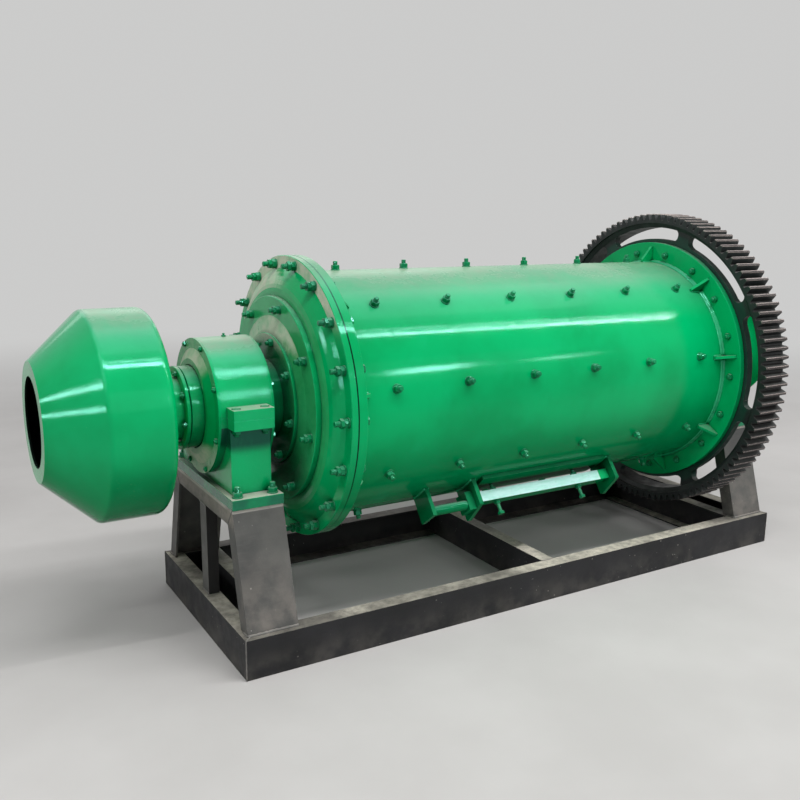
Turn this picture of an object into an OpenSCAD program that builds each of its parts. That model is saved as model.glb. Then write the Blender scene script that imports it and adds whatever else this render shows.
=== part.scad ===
// Ball mill with a drum feeder, a spoked girth gear and a welded channel frame.
// Units are millimetres, +Z is up, +X runs from the feeder to the gear and -Y is the front.

/* [Frame] */
// Width over the two side beams
frame_width = 900; // [880:1:960]
// Height of the frame channels
channel_height = 140; // [120:1:150]
// Flange width of the frame channels
channel_flange = 62; // [50:1:70]
// Web thickness of all the channels
channel_wall = 8; // [6:0.5:10]
// Length of frame left free outside each bearing stand
stand_inset = 17; // [10:1:40]

/* [Stands] */
// Height of the stands' top face above the ground
stand_height = 538; // [500:1:560]
// Width of a stand across its top channel
stand_top_width = 622; // [600:1:660]
// Flange depth of the stand channels
stand_flange = 60; // [45:1:65]
// Distance from the side beam's outer face to the foot of a leg
leg_foot_inset = 25; // [15:1:40]
// Width of the upright in the middle of a stand
post_width = 65; // [50:1:90]
// Depth of the upright in the middle of a stand
post_depth = 40; // [30:1:50]

/* [Bearings] */
// Length of a bearing housing along the mill
bearing_width = 180; // [160:1:200]
// Outer radius of a bearing housing
housing_radius = 237; // [225:1:240]
// Thickness of a bearing's base plate
base_plate_thickness = 35; // [25:1:45]
// Height from the base plate to the mill's axis
axis_above_plate = 259; // [250:1:280]
// Width of a base plate across the mill
base_plate_width = 636; // [620:1:680]
// Width of the pedestal's column across the mill
column_width = 524; // [500:1:550]
// Thickness of the pedestal's column along the mill
column_depth = 140; // [120:1:156]
// Width across the bolting ears of a cap
ear_width = 604; // [590:1:630]
// Thickness of each bolting ear
ear_height = 35; // [25:1:45]
// Distance between the two bolts of an ear
ear_bolt_spacing = 100; // [80:1:104]
// Diameter of the spot faces for the ear bolts
spot_face = 32; // [26:1:36]
// Depth of the spot faces for the ear bolts
spot_depth = 9; // [5:1:12]
// Radius of the trunnion journals
journal_radius = 143; // [125:1:150]
// Running clearance round a journal
journal_clearance = 0.1; // [0.05:0.01:0.2]
// Flange thickness of a bearing cover
cover_flange = 8; // [6:0.5:12]
// Height of a bearing cover's cone
cover_cone = 16; // [10:1:20]

/* [Shell] */
// Length of the drum shell
shell_length = 1823; // [1700:1:2000]
// Outer radius of the drum shell
shell_radius = 456; // [440:1:470]
// Plate thickness of the drum shell
shell_wall = 12; // [8:0.5:16]
// Height of the flanges above the shell at the mill heads
head_flange_height = 58; // [50:1:64]
// Thickness of the shell's flange at the feed end
feed_flange_thickness = 34; // [25:1:40]
// Height of the gear flange above the shell
gear_flange_height = 88; // [80:1:95]
// Thickness of the gear flange
gear_flange_thickness = 25; // [18:1:32]
// Chamfer on the rims of the bolted flanges
edge_break = 2; // [1:0.5:3]
// Number of stiffening gussets behind each flange
gusset_count = 9; // [6:1:12]
// Thickness of a gusset
gusset_thickness = 12; // [8:1:16]
// Length of the gussets behind the gear flange
gear_gusset_length = 60; // [45:1:80]
// Length of the gussets behind the feed flange
feed_gusset_length = 38; // [25:1:50]

/* [Heads] */
// Thickness of a head's bolting flange
head_flange_thickness = 25; // [20:1:32]
// Height of a head's crown above its flange
head_crown = 39; // [30:1:60]
// Wall thickness of a head
head_wall = 30; // [24:1:34]
// Radius of a trunnion's flange
trunnion_flange_radius = 371; // [350:1:380]
// Thickness of a trunnion's flange
trunnion_flange_thickness = 20; // [16:1:28]
// Height of the hub between a trunnion's flange and its seal ring
hub_height = 8; // [6:1:14]
// Radius of a hub at its foot
hub_foot_radius = 294; // [280:1:310]
// Radius of a seal ring
seal_ring_radius = 240; // [225:1:255]
// Thickness of a seal ring
seal_ring_thickness = 11; // [8:1:16]
// Radius of the bore through a trunnion
trunnion_bore = 95; // [80:1:105]
// Length of trunnion outside its bearing
trunnion_overhang = 43; // [35:1:60]
// Space between the seal ring and the bearing at the feed end
feed_gap = 56; // [40:1:80]
// Space between the seal ring and the bearing at the gear end
gear_gap = 19; // [18:1:60]

/* [Drum feeder] */
// Radius of the feeder drum
feeder_radius = 352; // [320:1:380]
// Length of the feeder's cylindrical part
feeder_cylinder = 205; // [160:1:240]
// Length of the feeder's cone
feeder_cone = 166; // [120:1:200]
// Radius of the feeder's mouth
mouth_radius = 149; // [130:1:165]
// Outer radius of the flat ring round the mouth
mouth_ring_radius = 198; // [185:1:220]
// Sheet thickness of the feeder
feeder_wall = 8; // [5:0.5:10]
// Bend radius at the back of the feeder
feeder_bend = 28; // [20:1:40]
// Bend radius between the feeder's cylinder and its cone
feeder_shoulder = 26; // [15:1:40]
// Outer radius of the feeder's neck
neck_radius = 115; // [108:1:118]
// Length of the feeder's neck with its flange
neck_length = 104; // [90:1:130]
// Radius of the bolting flanges at the free ends of the trunnions
neck_flange_radius = 145; // [140:1:150]
// Thickness of the bolting flanges at the free ends of the trunnions
neck_flange_thickness = 16; // [12:1:20]

/* [Discharge bell] */
// Length of the bell-mouthed discharge tube
bell_length = 162; // [150:1:200]
// Radius of the bell's mouth
bell_radius = 215; // [200:1:235]
// Sheet thickness of the bell
bell_wall = 8; // [5:0.5:10]

/* [Girth gear] */
// Module of the gear teeth
gear_module = 12; // [11:0.5:14]
// Face width of the gear
gear_face = 140; // [125:1:160]
// Number of spokes
spoke_count = 8; // [6:1:10]
// Width of a spoke
spoke_width = 65; // [50:1:80]
// Thickness of the gear's hub ring and spokes
gear_hub_thickness = 30; // [24:1:36]
// Height of the hub ring above the shell
gear_hub_height = 104; // [96:1:110]
// Rim thickness under the tooth roots
gear_rim = 13; // [10:1:18]
// Height of the stiffening rib inside the rim
gear_rib = 20; // [12:1:24]
// Clear height of the windows between the spokes
window_height = 52; // [44:1:58]

/* [Hatch] */
// Angle of the hatch from the top towards the front
hatch_angle = 142.7; // [130:0.1:155]
// Place of the hatch's middle along the mill, from the middle of the frame
hatch_middle = 32; // [0:1:60]
// Clear length between the two lugs
hatch_length = 676; // [600:1:720]
// Width of a lug
lug_width = 124; // [110:1:136]
// Thickness of a lug
lug_thickness = 17; // [12:1:20]
// Height of a lug above the shell
lug_height = 125; // [115:1:140]
// Drop of a lug's outer end towards its front edge
lug_drop = 25; // [10:1:30]
// Width of the clamping bar
bar_width = 52; // [40:1:60]
// Height of the clamping bar
bar_height = 41; // [34:1:46]
// Space between the shell and the clamping bar
bar_lift = 40; // [32:1:44]
// Width of the hatch cover
cover_width = 144; // [136:1:160]
// Thickness of the hatch cover
cover_thickness = 14; // [10:1:16]
// Space between each end of the hatch cover and its lug
cover_end_gap = 28; // [15:1:60]
// Diameter of the drawbar beside the hatch
drawbar_diameter = 38; // [30:1:44]
// Distance from the left lug to the drawbar's bracket
bracket_distance = 189; // [150:1:240]

/* [Hidden] */
$fn = 96;
// Small gap between curved pieces that sit on one another
seat = 0.3;
// Overlap that makes a cut or a joined feature run clean through
eps = 1;

// Chain of positions along the mill, from the middle of the frame
head_height = head_flange_thickness + head_crown;
seal_face = head_height + trunnion_flange_thickness + hub_height + seal_ring_thickness;
cover_height = cover_flange + cover_cone;
bearing_half = bearing_width / 2 + cover_height;
feed_chain = seal_face + feed_gap + bearing_half;
gear_chain = gear_hub_thickness + seal_face + gear_gap + bearing_half;
bearing_x = (feed_chain + shell_length + gear_chain) / 2;
shell_start = feed_chain - bearing_x;
shell_end = shell_start + shell_length;
gear_head_x = shell_end + gear_hub_thickness;
trunnion_end = bearing_x + bearing_half + trunnion_overhang;
feeder_back = trunnion_end + neck_length;
feeder_length = feeder_cylinder + feeder_cone;
mill_start = -feeder_back - feeder_length;
mill_end = trunnion_end + bell_length;
origin_x = (mill_start + mill_end) / 2;
frame_length = 2 * bearing_x + bearing_width + 2 * stand_inset;

// Heights
plate_top = stand_height + base_plate_thickness;
axis_z = plate_top + axis_above_plate;

// Channels
flange_root = channel_wall * 1.2;
flange_tip = channel_wall * 0.8;
cope_gap = 1;
cross_member_trim = 4;
cross_member_flange = channel_flange - cross_member_trim;
cross_member_inset = 41;
middle_cross_member_x = -12;
lean = atan((frame_width / 2 - leg_foot_inset - stand_top_width / 2) / (stand_height - channel_height));
leg_foot = frame_width / 2 - leg_foot_inset;
leg_depth_level = stand_flange / cos(lean);
leg_wall_level = channel_wall / cos(lean);
mitre_z = stand_height - stand_flange;
mitre_y = leg_foot - leg_depth_level - (mitre_z - channel_height) * tan(lean);
post_offset = -10;

// Bearings
ear_depth = column_depth;
housing_bore = journal_radius + journal_clearance;
cover_gap = 4;
cover_land = 35;
cover_nose_land = 20;
cover_bore = journal_radius + cover_gap;
cover_foot_radius = housing_radius - cover_land;
cover_nose_radius = cover_bore + cover_nose_land;
ear_bolt_y = (ear_width / 2 + sqrt(pow(housing_radius, 2) - pow(ear_height, 2))) / 2;

// Heads and trunnions
head_flange_radius = shell_radius + head_flange_height;
head_step = 14;
head_shoulder_radius = shell_radius + head_step;
head_seat_radius = trunnion_flange_radius + head_step;
spigot_step = 10;
spigot_radius = journal_radius + spigot_step;
hub_top_radius = seal_ring_radius + spigot_step;
crown_steps = 6;
crown_power = 1.7;

// Drum feeder and discharge bell
raised_face = 4;
raised_face_margin = 12;
raised_face_radius = neck_flange_radius - raised_face_margin;
cone_angle = atan((feeder_radius - mouth_ring_radius) / feeder_cone);
shoulder_z = feeder_cylinder - feeder_shoulder * tan(cone_angle / 2);
bend_steps = 6;
bell_curve = bell_radius - neck_radius;
bell_straight = bell_length - bell_curve - bell_wall;

// Shell flanges
gusset_first_angle = 0.5;
gusset_flange_step = 18;
gusset_rise = 12;
gusset_nose = 7;

// Girth gear
wanted_root = shell_radius + gear_hub_height + window_height + gear_rib + gear_rim;
gear_teeth = round(2 * (wanted_root + 1.25 * gear_module) / gear_module);
pitch_radius = gear_module * gear_teeth / 2;
tip_radius = pitch_radius + gear_module;
root_radius = pitch_radius - 1.25 * gear_module;
pressure_angle = 20;
base_circle = pitch_radius * cos(pressure_angle);
rim_inner = root_radius - gear_rim;
rib_inner = rim_inner - gear_rib;
gear_start = shell_end - gear_flange_thickness;
gear_hub_radius = shell_radius + gear_hub_height;
rib_margin = 12;
spoke_fillet = 0.46 * window_height;
spoke_first_angle = 16;

// Hatch
hatch_left = hatch_middle - hatch_length / 2;
hatch_right = hatch_middle + hatch_length / 2;
lug_corner = 10;
cover_length = hatch_length - 2 * cover_end_gap;
cover_overlap = 70;
manhole_length = cover_length - 2 * cover_overlap;
manhole_width = 100;
bar_foot = shell_radius + bar_lift;
drawbar_lift = 79;
drawbar_height = shell_radius + drawbar_lift;
drawbar_side = 14;
block_length = 32;
block_width = 70;
block_height = 72;
bracket_thickness = 15;
bracket_width = 100;
bracket_height = 104;

// Puts the origin at the middle of the finished part
module placed() {
    translate([-origin_x, 0, 0]) children();
}

// Turns +Z to +X on the mill's axis; local angles count from the top towards the front
module on_axis(x) {
    translate([x, 0, axis_z]) rotate([0, 90, 0]) rotate([0, 0, 180]) children();
}

// Points of an arc between two angles, for outlines
function arc_points(x, y, radius, first, last, steps) = [
    for (i = [0 : steps])
        let (a = first + (last - first) * i / steps)
        [x + radius * cos(a), y + radius * sin(a)]
];

// Revolves a half section drawn as [radius, distance along +X]
module turned(x, points) {
    on_axis(x) rotate_extrude() polygon(points);
}

// The same, with distances counted along -X
module turned_back(x, points) {
    translate([x, 0, axis_z]) rotate([0, -90, 0]) rotate_extrude() polygon(points);
}

// Local +Z points outwards from the mill's axis at an angle from the top, local +X stays along the mill
module radial(x, angle) {
    translate([x, 0, axis_z]) rotate([angle, 0, 0]) children();
}

// Channel section with tapered flanges, its web at x = 0
module channel_section(height, flange) {
    polygon([
        [0, 0], [flange, 0], [flange, flange_tip], [channel_wall, flange_root],
        [channel_wall, height - flange_root], [flange, height - flange_tip], [flange, height], [0, height]
    ]);
}

// Beam along X with its web on -Y at y = 0 and both ends mitred at 45 degrees
module mitred_beam(length) {
    intersection() {
        translate([-length / 2 - eps, 0, 0]) rotate([90, 0, 90])
            linear_extrude(length + 2 * eps) channel_section(channel_height, channel_flange);
        translate([0, 0, -eps]) linear_extrude(channel_height + 2 * eps) polygon([
            [-length / 2 - eps, -eps], [length / 2 + eps, -eps],
            [length / 2 - channel_flange - eps, channel_flange + eps],
            [-length / 2 + channel_flange + eps, channel_flange + eps]
        ]);
    }
}

// Cross beam between the side beams with its web at x = 0 and its flanges towards +X
module cross_beam() {
    half = frame_width / 2 - channel_flange;
    tongue = frame_width / 2 - channel_wall;
    tongue_z = flange_root + cope_gap;
    translate([0, half, 0]) rotate([90, 0, 0])
        linear_extrude(2 * half) channel_section(channel_height, cross_member_flange);
    translate([0, -tongue, tongue_z]) cube([channel_wall, 2 * tongue, channel_height - 2 * tongue_z]);
}

// Leaning leg at -Y, its channel web outwards, cut level at the foot and mitred at the head
module leg() {
    run = stand_height - channel_height + eps;
    translate([-bearing_width / 2, 0, 0]) rotate([90, 0, 90]) difference() {
        linear_extrude(bearing_width) polygon([
            [-leg_foot, channel_height], [-stand_top_width / 2, stand_height],
            [-mitre_y, mitre_z], [-leg_foot + leg_depth_level, channel_height]
        ]);
        translate([0, 0, channel_wall]) linear_extrude(bearing_width - 2 * channel_wall) polygon([
            [-leg_foot + leg_wall_level - eps * tan(lean), channel_height - eps],
            [-leg_foot + leg_wall_level + run * tan(lean), channel_height + run],
            [-leg_foot + leg_wall_level + run * tan(lean) + 2 * stand_flange, channel_height + run],
            [-leg_foot + leg_wall_level - eps * tan(lean) + 2 * stand_flange, channel_height - eps]
        ]);
    }
}

// Top channel of a stand, its web upwards, mitred to both legs
module top_channel() {
    inner_width = bearing_width - 2 * channel_wall;
    translate([-bearing_width / 2, 0, 0]) rotate([90, 0, 90]) difference() {
        linear_extrude(bearing_width) polygon([
            [-stand_top_width / 2, stand_height], [stand_top_width / 2, stand_height],
            [mitre_y, mitre_z], [-mitre_y, mitre_z]
        ]);
        translate([-stand_top_width / 2 - eps, mitre_z - eps, channel_wall])
            linear_extrude(inner_width)
                square([stand_top_width + 2 * eps, stand_flange - channel_wall + eps]);
    }
}

// Upright between the end beam and the top channel, its web flush with the stand's outer face
module middle_post() {
    inner = post_width - 2 * channel_wall;
    translate([-bearing_width / 2, post_offset - post_width / 2, channel_height])
        linear_extrude(mitre_z - channel_height) difference() {
            square([post_depth, post_width]);
            translate([channel_wall, channel_wall]) square([post_depth, inner]);
        }
}

// Cast pedestal: base plate, column, lower half of the housing and the lower ears
module pedestal() {
    difference() {
        union() {
            translate([-bearing_width / 2, -base_plate_width / 2, stand_height])
                cube([bearing_width, base_plate_width, base_plate_thickness]);
            translate([-column_depth / 2, -column_width / 2, plate_top - eps])
                cube([column_depth, column_width, axis_above_plate + eps]);
            translate([-ear_depth / 2, -ear_width / 2, axis_z - ear_height])
                cube([ear_depth, ear_width, ear_height]);
            translate([0, 0, axis_z]) rotate([0, 90, 0])
                cylinder(r = housing_radius, h = bearing_width, center = true);
        }
        translate([-bearing_width, -ear_width, axis_z])
            cube([2 * bearing_width, 2 * ear_width, housing_radius + eps]);
        translate([0, 0, axis_z]) rotate([0, 90, 0])
            cylinder(r = housing_bore, h = bearing_width + 2 * eps, center = true);
    }
}

// Cast cap: upper half of the housing and the upper ears
module cap() {
    difference() {
        union() {
            translate([-ear_depth / 2, -ear_width / 2, axis_z])
                cube([ear_depth, ear_width, ear_height]);
            translate([0, 0, axis_z]) rotate([0, 90, 0])
                cylinder(r = housing_radius, h = bearing_width, center = true);
        }
        translate([-bearing_width, -ear_width, axis_z - housing_radius - eps])
            cube([2 * bearing_width, 2 * ear_width, housing_radius + eps]);
        translate([0, 0, axis_z]) rotate([0, 90, 0])
            cylinder(r = housing_bore, h = bearing_width + 2 * eps, center = true);
        for (x = [-1, 1], y = [-1, 1])
            translate([x * ear_bolt_spacing / 2, y * ear_bolt_y, axis_z + ear_height - spot_depth])
                cylinder(d = spot_face, h = spot_depth + eps, $fn = 48);
    }
}

// Coned cover on a bearing's face, growing along -X from the face
module bearing_cover() {
    turned_back(-bearing_width / 2, [
        [cover_bore, 0], [housing_radius, 0], [housing_radius, cover_flange],
        [cover_foot_radius, cover_flange], [cover_nose_radius, cover_height], [cover_bore, cover_height]
    ]);
}

// Half section of a mill head, from the shell's end outwards
function crown_points() = [
    for (i = [0 : crown_steps])
        let (t = i / crown_steps)
        [head_shoulder_radius - (head_shoulder_radius - head_seat_radius) * t,
         head_flange_thickness + head_crown * (1 - pow(1 - t, crown_power))]
];

function head_section() = concat(
    [[shell_radius - shell_wall, 0], [head_flange_radius - edge_break, 0], [head_flange_radius, edge_break],
     [head_flange_radius, head_flange_thickness - edge_break],
     [head_flange_radius - edge_break, head_flange_thickness]],
    crown_points(),
    [[spigot_radius + seat, head_height], [spigot_radius + seat, head_height - head_wall],
     [head_seat_radius - head_wall, head_height - head_wall]]
);

// Half section of a trunnion, from the head's seat outwards
function trunnion_section(length) = [
    [trunnion_bore, -head_wall], [spigot_radius, -head_wall], [spigot_radius, 0],
    [trunnion_flange_radius, 0], [trunnion_flange_radius, trunnion_flange_thickness - edge_break],
    [trunnion_flange_radius - edge_break, trunnion_flange_thickness],
    [hub_foot_radius, trunnion_flange_thickness],
    [hub_top_radius, trunnion_flange_thickness + hub_height],
    [journal_radius, trunnion_flange_thickness + hub_height],
    [journal_radius, length - edge_break], [journal_radius - edge_break, length], [trunnion_bore, length]
];

function seal_ring_section() = [
    [journal_radius + seat, 0], [seal_ring_radius, 0], [seal_ring_radius, seal_ring_thickness - edge_break],
    [seal_ring_radius - edge_break, seal_ring_thickness], [journal_radius + seat, seal_ring_thickness]
];

// Half section of the drum feeder, from its back plate to its mouth
function feeder_section() =
    let (back = feeder_radius - feeder_bend, front = feeder_radius - feeder_shoulder)
    concat(
        [[neck_radius - feeder_wall, 0]],
        arc_points(back, feeder_bend, feeder_bend, -90, 0, bend_steps),
        arc_points(front, shoulder_z, feeder_shoulder, 0, cone_angle, bend_steps),
        [[mouth_ring_radius, feeder_length], [mouth_radius, feeder_length],
         [mouth_radius, feeder_length - feeder_wall],
         [mouth_ring_radius - feeder_wall * tan(45 - cone_angle / 2), feeder_length - feeder_wall]],
        arc_points(front, shoulder_z, feeder_shoulder - feeder_wall, cone_angle, 0, bend_steps),
        arc_points(back, feeder_bend, feeder_bend - feeder_wall, 0, -90, bend_steps),
        [[neck_radius - feeder_wall, feeder_wall]]
    );

// Half section of a bolting flange at a trunnion's end, from its raised face, without its tube
function neck_flange_section() = [
    [raised_face_radius, 0], [raised_face_radius, raised_face],
    [neck_flange_radius, raised_face], [neck_flange_radius, neck_flange_thickness - edge_break],
    [neck_flange_radius - edge_break, neck_flange_thickness], [neck_radius, neck_flange_thickness]
];

// Half section of the discharge bell, from its flange to its mouth
function bell_section() = concat(
    [[neck_radius - bell_wall, 0]],
    neck_flange_section(),
    arc_points(bell_radius, bell_straight, bell_curve, 180, 90, 2 * bend_steps),
    arc_points(bell_radius, bell_straight, bell_curve + bell_wall, 90, 180, 2 * bend_steps)
);

// Bolting ring round the shell with gussets, growing along -X from x = 0
module gusseted_flange(outer_radius, thickness, gusset_length, rise) {
    difference() {
        union() {
            turned_back(0, [
                [shell_radius + seat, -thickness], [outer_radius - edge_break, -thickness],
                [outer_radius, edge_break - thickness], [outer_radius, -edge_break],
                [outer_radius - edge_break, 0], [shell_radius + seat, 0]
            ]);
            for (i = [0 : gusset_count - 1])
                radial(0, gusset_first_angle + i * 360 / gusset_count)
                    translate([0, gusset_thickness / 2, 0]) rotate([90, 0, 0])
                        linear_extrude(gusset_thickness) polygon([
                            [eps, shell_radius], [eps, outer_radius - gusset_flange_step],
                            [-gusset_nose, outer_radius - gusset_flange_step],
                            [-gusset_length + gusset_nose, shell_radius + rise + gusset_nose],
                            [-gusset_length, shell_radius + rise], [-gusset_length, shell_radius]
                        ]);
        }
        turned_back(0, [
            [0, -thickness - eps], [shell_radius + seat, -thickness - eps],
            [shell_radius + seat, gusset_length + eps], [0, gusset_length + eps]
        ]);
    }
}

// Involute teeth
function inv(angle) = tan(angle) - angle * PI / 180;
function half_tooth(r) =
    let (r1 = max(r, base_circle))
    90 / gear_teeth + (inv(pressure_angle) - inv(acos(base_circle / r1))) * 180 / PI;
function polar(r, a) = [r * cos(a), r * sin(a)];
half_module = 0.5 * gear_module;
tooth_levels = [
    root_radius, pitch_radius - half_module, pitch_radius,
    pitch_radius + half_module, tip_radius
];
function tooth(a) = concat(
    [for (i = [0 : len(tooth_levels) - 1]) polar(tooth_levels[i], a - half_tooth(tooth_levels[i]))],
    [for (i = [len(tooth_levels) - 1 : -1 : 0]) polar(tooth_levels[i], a + half_tooth(tooth_levels[i]))]
);
gear_outline = [for (i = [0 : gear_teeth - 1]) each tooth(i * 360 / gear_teeth)];

// One spoke with a fillet at each corner, in the plane of the gear
module spoke_outline() {
    rim_x = sqrt(pow(rib_inner, 2) - pow(spoke_width / 2, 2));
    hub_x = sqrt(pow(gear_hub_radius, 2) - pow(spoke_width / 2, 2));
    translate([gear_hub_radius - 2 * spoke_fillet, -spoke_width / 2])
        square([rim_inner + gear_rim / 2 - gear_hub_radius + 2 * spoke_fillet, spoke_width]);
    for (side = [0, 1]) mirror([0, side]) {
        difference() {
            translate([rim_x - spoke_fillet, spoke_width / 2 - eps])
                square([spoke_fillet + gear_rib, spoke_fillet + eps]);
            translate([rim_x - spoke_fillet, spoke_width / 2 + spoke_fillet])
                circle(r = spoke_fillet, $fn = 48);
        }
        difference() {
            translate([hub_x - spoke_fillet / 2, spoke_width / 2 - eps])
                square([spoke_fillet * 1.5, spoke_fillet + eps]);
            translate([hub_x + spoke_fillet, spoke_width / 2 + spoke_fillet])
                circle(r = spoke_fillet, $fn = 48);
        }
    }
}

// Lug plate of the hatch, its outer end sloping down to the front and its corners rounded, its face at x = 0
module lug() {
    half = lug_width / 2 - lug_corner;
    foot = sqrt(pow(shell_radius, 2) - pow(lug_width / 2, 2)) - 2 * eps;
    top = shell_radius + lug_height - lug_corner;
    difference() {
        rotate([90, 0, 90]) linear_extrude(lug_thickness) polygon(concat(
            [[-lug_width / 2, foot], [lug_width / 2, foot]],
            arc_points(half, top - lug_drop, lug_corner, 0, 90, 4),
            arc_points(-half, top, lug_corner, 90, 180, 4)
        ));
        rotate([0, 90, 0]) translate([0, 0, -eps])
            cylinder(r = shell_radius + seat, h = lug_thickness + 2 * eps);
    }
}

module front_beam() {
    color("dimgray") placed() translate([0, -frame_width / 2, 0]) mitred_beam(frame_length);
}

module back_beam() {
    color("dimgray") placed() translate([0, frame_width / 2, 0]) rotate([0, 0, 180])
        mitred_beam(frame_length);
}

module left_end_beam() {
    color("gray") placed() translate([-frame_length / 2, 0, 0]) rotate([0, 0, -90]) mitred_beam(frame_width);
}

module right_end_beam() {
    color("gray") placed() translate([frame_length / 2, 0, 0]) rotate([0, 0, 90]) mitred_beam(frame_width);
}

module left_cross_member() {
    color("slategray") placed() translate([-bearing_x + cross_member_inset, 0, 0]) cross_beam();
}

module middle_cross_member() {
    color("slategray") placed() translate([middle_cross_member_x, 0, 0]) cross_beam();
}

module right_cross_member() {
    color("slategray") placed() translate([bearing_x - cross_member_inset, 0, 0]) rotate([0, 0, 180])
        cross_beam();
}

module left_front_leg() {
    color("darkslategray") placed() translate([-bearing_x, 0, 0]) leg();
}

module left_back_leg() {
    color("darkslategray") placed() translate([-bearing_x, 0, 0]) mirror([0, 1, 0]) leg();
}

module left_top_channel() {
    color("gray") placed() translate([-bearing_x, 0, 0]) top_channel();
}

module left_middle_post() {
    color("dimgray") placed() translate([-bearing_x, 0, 0]) middle_post();
}

module right_front_leg() {
    color("darkslategray") placed() translate([bearing_x, 0, 0]) leg();
}

module right_back_leg() {
    color("darkslategray") placed() translate([bearing_x, 0, 0]) mirror([0, 1, 0]) leg();
}

module right_top_channel() {
    color("gray") placed() translate([bearing_x, 0, 0]) top_channel();
}

module right_middle_post() {
    color("dimgray") placed() translate([bearing_x, 0, 0]) mirror([1, 0, 0]) middle_post();
}

module left_pedestal() {
    color("seagreen") placed() translate([-bearing_x, 0, 0]) pedestal();
}

module left_cap() {
    color("mediumseagreen") placed() translate([-bearing_x, 0, 0]) cap();
}

module left_outer_cover() {
    color("green") placed() translate([-bearing_x, 0, 0]) bearing_cover();
}

module left_inner_cover() {
    color("green") placed() translate([-bearing_x, 0, 0]) mirror([1, 0, 0]) bearing_cover();
}

module right_pedestal() {
    color("seagreen") placed() translate([bearing_x, 0, 0]) pedestal();
}

module right_cap() {
    color("mediumseagreen") placed() translate([bearing_x, 0, 0]) cap();
}

module right_outer_cover() {
    color("green") placed() translate([bearing_x, 0, 0]) mirror([1, 0, 0]) bearing_cover();
}

module right_inner_cover() {
    color("green") placed() translate([bearing_x, 0, 0]) bearing_cover();
}

module feed_drum() {
    color("limegreen") placed() turned_back(-feeder_back, feeder_section());
}

module feed_neck() {
    color("forestgreen") placed() turned_back(-trunnion_end, concat(
        [[neck_radius - feeder_wall, 0]],
        neck_flange_section(),
        [[neck_radius, neck_length], [neck_radius - feeder_wall, neck_length]]
    ));
}

module feed_trunnion() {
    color("olivedrab") placed()
        turned_back(shell_start - head_height, trunnion_section(trunnion_end + shell_start - head_height));
}

module feed_seal_ring() {
    color("darkgreen") placed()
        turned_back(shell_start - seal_face + seal_ring_thickness, seal_ring_section());
}

module feed_head() {
    color("green") placed() turned_back(shell_start, head_section());
}

module shell() {
    color("mediumseagreen") placed() difference() {
        turned(shell_start, [
            [shell_radius - shell_wall, 0], [shell_radius, 0],
            [shell_radius, shell_length], [shell_radius - shell_wall, shell_length]
        ]);
        radial(hatch_middle, hatch_angle)
            translate([-manhole_length / 2, -manhole_width / 2, shell_radius / 2])
                cube([manhole_length, manhole_width, shell_radius]);
    }
}

module feed_flange() {
    color("seagreen") placed() translate([shell_start + feed_flange_thickness, 0, 0]) mirror([1, 0, 0])
        gusseted_flange(head_flange_radius, feed_flange_thickness, feed_gusset_length, gusset_rise);
}

module gear_flange() {
    gear_flange_radius = shell_radius + gear_flange_height;
    color("seagreen") placed() translate([gear_start, 0, 0])
        gusseted_flange(gear_flange_radius, gear_flange_thickness, gear_gusset_length, gusset_rise);
}

module girth_gear() {
    mid = root_radius - gear_rim / 2;
    color([0.16, 0.2, 0.18]) placed() union() {
        on_axis(gear_start) linear_extrude(gear_face) difference() {
            polygon(gear_outline);
            circle(r = mid);
        }
        turned(gear_start, [
            [mid + eps, 0], [mid + eps, gear_face],
            [rim_inner, gear_face], [rim_inner, gear_face - rib_margin],
            [rib_inner, gear_face - 2 * rib_margin], [rib_inner, 2 * rib_margin], [rim_inner, rib_margin],
            [rim_inner, 0]
        ]);
        turned(shell_end, [
            [shell_radius - shell_wall, 0], [gear_hub_radius, 0],
            [gear_hub_radius, gear_hub_thickness], [shell_radius - shell_wall, gear_hub_thickness]
        ]);
        for (i = [0 : spoke_count - 1])
            on_axis(shell_end) rotate([0, 0, spoke_first_angle + i * 360 / spoke_count])
                linear_extrude(gear_hub_thickness) spoke_outline();
    }
}

module gear_head() {
    color("green") placed() turned(gear_head_x, head_section());
}

module gear_trunnion() {
    color("olivedrab") placed()
        turned(gear_head_x + head_height, trunnion_section(trunnion_end - gear_head_x - head_height));
}

module gear_seal_ring() {
    color("darkgreen") placed()
        turned(gear_head_x + seal_face - seal_ring_thickness, seal_ring_section());
}

module discharge_bell() {
    color("forestgreen") placed() turned(trunnion_end, bell_section());
}

module hatch_cover() {
    color("darkgreen") placed() intersection() {
        turned(hatch_middle - cover_length / 2, [
            [shell_radius + seat, 0], [shell_radius + cover_thickness, 0],
            [shell_radius + cover_thickness, cover_length], [shell_radius + seat, cover_length]
        ]);
        radial(hatch_middle, hatch_angle) translate([-cover_length, -cover_width / 2, shell_radius / 2])
            cube([2 * cover_length, cover_width, shell_radius]);
    }
}

module hatch_bar() {
    color("palegreen") placed() radial(hatch_left, hatch_angle)
        translate([0, -bar_width / 2, bar_foot]) cube([hatch_length, bar_width, bar_height]);
}

module hatch_left_lug() {
    color("limegreen") placed() radial(hatch_left - lug_thickness, hatch_angle) lug();
}

module hatch_right_lug() {
    color("limegreen") placed() radial(hatch_right, hatch_angle) lug();
}

module hatch_block() {
    color("forestgreen") placed() radial(hatch_left - lug_thickness - block_length, hatch_angle)
        translate([0, -block_width / 2, drawbar_height - block_height / 2 - drawbar_diameter / 4])
            cube([block_length, block_width, block_height]);
}

module hatch_drawbar() {
    color("forestgreen") placed()
        radial(hatch_left - lug_thickness - bracket_distance, hatch_angle)
            translate([0, drawbar_side, drawbar_height]) rotate([0, 90, 0])
                cylinder(d = drawbar_diameter, h = bracket_distance - block_length);
}

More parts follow.
